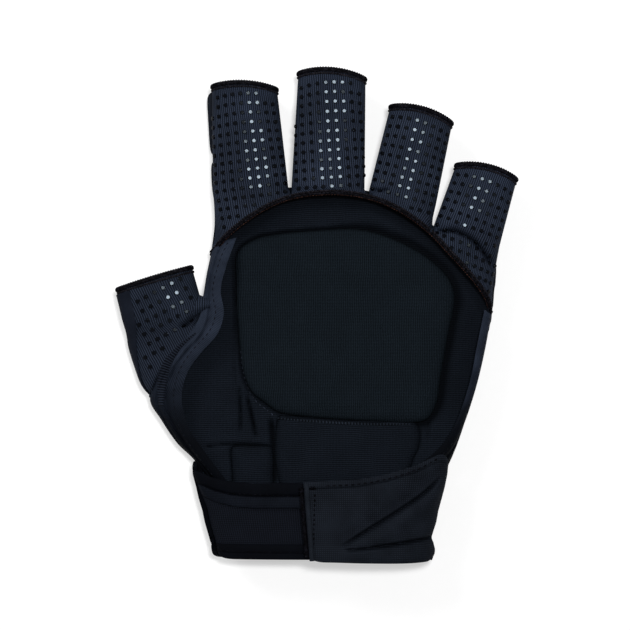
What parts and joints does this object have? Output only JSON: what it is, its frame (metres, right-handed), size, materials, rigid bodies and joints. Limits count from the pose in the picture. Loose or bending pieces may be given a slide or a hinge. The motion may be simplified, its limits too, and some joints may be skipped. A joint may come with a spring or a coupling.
{
  "type": "field hockey glove",
  "caption": "Left-hand field hockey glove with half fingers, an open palm, foam guards on the back and a hook-and-loop wrist flap; fingers, thumb and flap are hinged",
  "frame": {"origin": "under the middle of the outline, on the surface that the guards rest on", "axes": "+Y along the fingers, +Z out of the palm, +X towards the little finger"},
  "size_m": [0.1678, 0.2062, 0.0287],
  "materials": {
    "grip_knit": "fine ribbed stretch knit with raised glossy silicone grip dots, dark navy",
    "knit_lining": "matt fine knit over foam",
    "overlock_thread": "dense overlock stitch, near black",
    "smooth_jersey": "smooth stretch jersey over neoprene",
    "ribbed_elastic": "vertically ribbed elastic loop",
    "guard_foam": "moulded closed-cell foam with a jersey skin",
    "hook_and_loop": "hook and loop tape"
  },
  "bodies": {
    "hand": {"back_shell": "knit_lining", "finger_base_panel": "grip_knit", "palm_hem": "overlock_thread", "thumb_side_band": "smooth_jersey", "outer_side_band": "smooth_jersey", "thumb_base_shell": "grip_knit", "main_palm_pad": "knit_lining", "lower_palm_pad": "knit_lining", "thumb_lining_pad": "knit_lining", "lower_thumb_pad_outer": "knit_lining", "lower_thumb_pad_inner": "knit_lining", "outer_lining": "knit_lining", "back_guard": "guard_foam", "thumb_guard_base": "guard_foam", "index_guard_knuckle": "guard_foam", "middle_guard_knuckle": "guard_foam", "ring_guard_knuckle": "guard_foam", "little_guard_knuckle": "guard_foam", "cuff_back": "smooth_jersey", "cuff_guard": "guard_foam", "strap_top_binding": "smooth_jersey", "strap_elastic": "ribbed_elastic", "strap_bottom_binding": "smooth_jersey", "loop_patch": "hook_and_loop"},
    "index_proximal": {"index_sleeve_proximal": "grip_knit", "index_guard_proximal": "guard_foam"},
    "index_distal": {"index_sleeve_distal": "grip_knit", "index_guard_distal": "guard_foam", "index_tip_hem": "overlock_thread"},
    "middle_proximal": {"middle_sleeve_proximal": "grip_knit", "middle_guard_proximal": "guard_foam"},
    "middle_distal": {"middle_sleeve_distal": "grip_knit", "middle_guard_distal": "guard_foam", "middle_tip_hem": "overlock_thread"},
    "ring_proximal": {"ring_sleeve_proximal": "grip_knit", "ring_guard_proximal": "guard_foam"},
    "ring_distal": {"ring_sleeve_distal": "grip_knit", "ring_guard_distal": "guard_foam", "ring_tip_hem": "overlock_thread"},
    "little_proximal": {"little_sleeve_proximal": "grip_knit", "little_guard_proximal": "guard_foam"},
    "little_distal": {"little_sleeve_distal": "grip_knit", "little_guard_distal": "guard_foam", "little_tip_hem": "overlock_thread"},
    "thumb": {"thumb_sleeve": "grip_knit", "thumb_tip_hem": "overlock_thread", "thumb_guard_tip": "guard_foam"},
    "wrist_flap": {"flap_panel": "smooth_jersey", "flap_bottom_hem": "smooth_jersey", "flap_edge_binding": "overlock_thread", "hook_patch": "hook_and_loop"}
  },
  "joints": [
    {"name": "index_knuckle_flex", "type": "hinge", "parent": "hand", "child": "index_proximal", "pos_m": [-0.02526, 0.05352, 0.0213], "axis": [0.9977, 0.068, 0], "range_deg": [0, 60]},
    {"name": "index_middle_flex", "type": "hinge", "parent": "index_proximal", "child": "index_distal", "pos_m": [-0.02621, 0.0675, 0.0213], "axis": [0.9977, 0.068, 0], "range_deg": [0, 70]},
    {"name": "middle_knuckle_flex", "type": "hinge", "parent": "hand", "child": "middle_proximal", "pos_m": [0.00661, 0.05381, 0.0213], "axis": [0.9994, -0.035, 0], "range_deg": [0, 60]},
    {"name": "middle_middle_flex", "type": "hinge", "parent": "middle_proximal", "child": "middle_distal", "pos_m": [0.00712, 0.06839, 0.0213], "axis": [0.9994, -0.035, 0], "range_deg": [0, 70]},
    {"name": "ring_knuckle_flex", "type": "hinge", "parent": "hand", "child": "ring_proximal", "pos_m": [0.03693, 0.04975, 0.0213], "axis": [0.975, -0.222, 0], "range_deg": [0, 60]},
    {"name": "ring_middle_flex", "type": "hinge", "parent": "ring_proximal", "child": "ring_distal", "pos_m": [0.0396, 0.06145, 0.0213], "axis": [0.975, -0.222, 0], "range_deg": [0, 70]},
    {"name": "little_knuckle_flex", "type": "hinge", "parent": "hand", "child": "little_proximal", "pos_m": [0.06338, 0.03319, 0.0213], "axis": [0.9552, -0.2961, 0], "range_deg": [0, 60]},
    {"name": "little_middle_flex", "type": "hinge", "parent": "little_proximal", "child": "little_distal", "pos_m": [0.06622, 0.04236, 0.0213], "axis": [0.9552, -0.2961, 0], "range_deg": [0, 70]},
    {"name": "thumb_flex", "type": "hinge", "parent": "hand", "child": "thumb", "pos_m": [-0.06438, 0.00262, 0.0213], "axis": [0.9677, 0.2519, 0], "range_deg": [0, 40]},
    {"name": "wrist_flap_open", "type": "hinge", "parent": "hand", "child": "wrist_flap", "pos_m": [0.05345, -0.08284, 0.01703], "axis": [0.1008, 0.9949, 0], "range_deg": [0, 150]}
  ]
}
